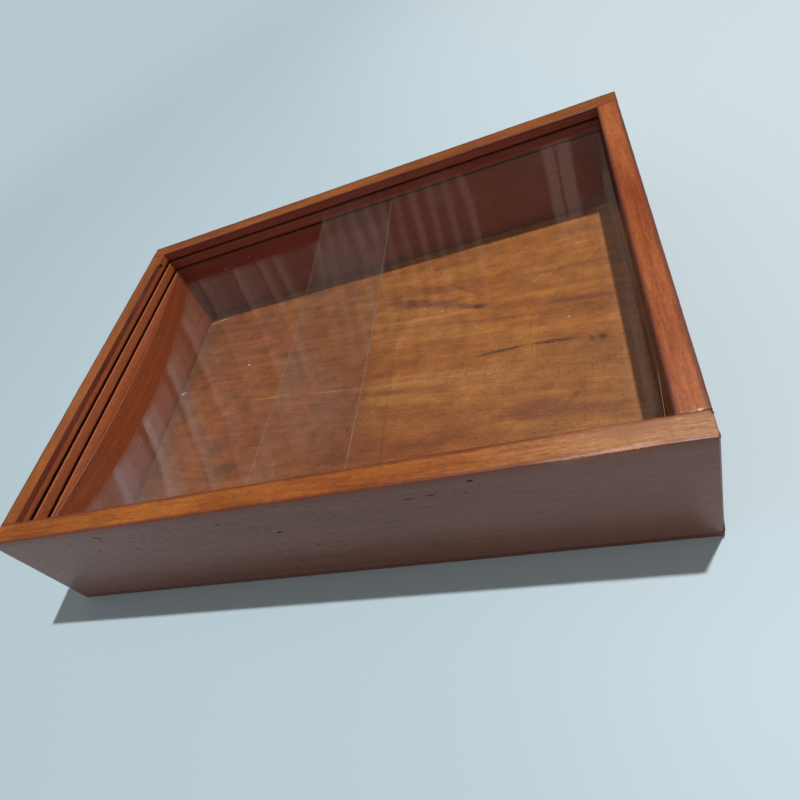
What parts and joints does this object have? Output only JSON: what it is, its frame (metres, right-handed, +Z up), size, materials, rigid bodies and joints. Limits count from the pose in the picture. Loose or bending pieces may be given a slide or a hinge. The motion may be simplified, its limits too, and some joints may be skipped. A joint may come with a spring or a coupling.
{
  "type": "knife display case",
  "caption": "Shallow varnished wooden display case with two clear panes that slide past each other in grooves under the rim.",
  "frame": {"origin": "middle of the underside of the case", "axes": "+X right along the front of the case, +Y to its back, +Z up"},
  "size_m": [0.49, 0.36, 0.098],
  "materials": {
    "front_board": "reddish brown stain under satin varnish",
    "back_board": "reddish brown stain under satin varnish",
    "left_board": "reddish brown stain under satin varnish",
    "right_board": "redder brown stain under satin varnish",
    "floor_sheet": "yellow-brown coarse-pored veneer, satin varnish",
    "clear_pane": "clear acrylic sheet with cut edges",
    "nail_steel": "plain drawn wire"
  },
  "bodies": {
    "case": {"floor_sheet": "floor_sheet", "front_board": "front_board", "back_board": "back_board", "left_board": "left_board", "right_board": "right_board", "front_left_corner_nail_1": "nail_steel", "front_left_corner_nail_2": "nail_steel", "front_left_corner_nail_3": "nail_steel", "front_right_corner_nail_1": "nail_steel", "front_right_corner_nail_2": "nail_steel", "front_right_corner_nail_3": "nail_steel", "back_left_corner_nail_1": "nail_steel", "back_left_corner_nail_2": "nail_steel", "back_left_corner_nail_3": "nail_steel", "back_right_corner_nail_1": "nail_steel", "back_right_corner_nail_2": "nail_steel", "back_right_corner_nail_3": "nail_steel", "front_floor_nail_1": "nail_steel", "front_floor_nail_2": "nail_steel", "front_floor_nail_3": "nail_steel", "front_floor_nail_4": "nail_steel", "back_floor_nail_1": "nail_steel", "back_floor_nail_2": "nail_steel", "back_floor_nail_3": "nail_steel", "back_floor_nail_4": "nail_steel", "left_floor_nail_1": "nail_steel", "left_floor_nail_2": "nail_steel", "left_floor_nail_3": "nail_steel", "right_floor_nail_1": "nail_steel", "right_floor_nail_2": "nail_steel", "right_floor_nail_3": "nail_steel"},
    "lower_pane": {"lower_pane": "clear_pane"},
    "upper_pane": {"upper_pane": "clear_pane"}
  },
  "joints": [
    {"name": "lower_pane_slide", "type": "slide", "parent": "case", "child": "lower_pane", "axis": [1, 0, 0], "range_m": [-0.0005, 0.1935]},
    {"name": "upper_pane_slide", "type": "slide", "parent": "case", "child": "upper_pane", "axis": [1, 0, 0], "range_m": [-0.1945, 0.0005]}
  ]
}
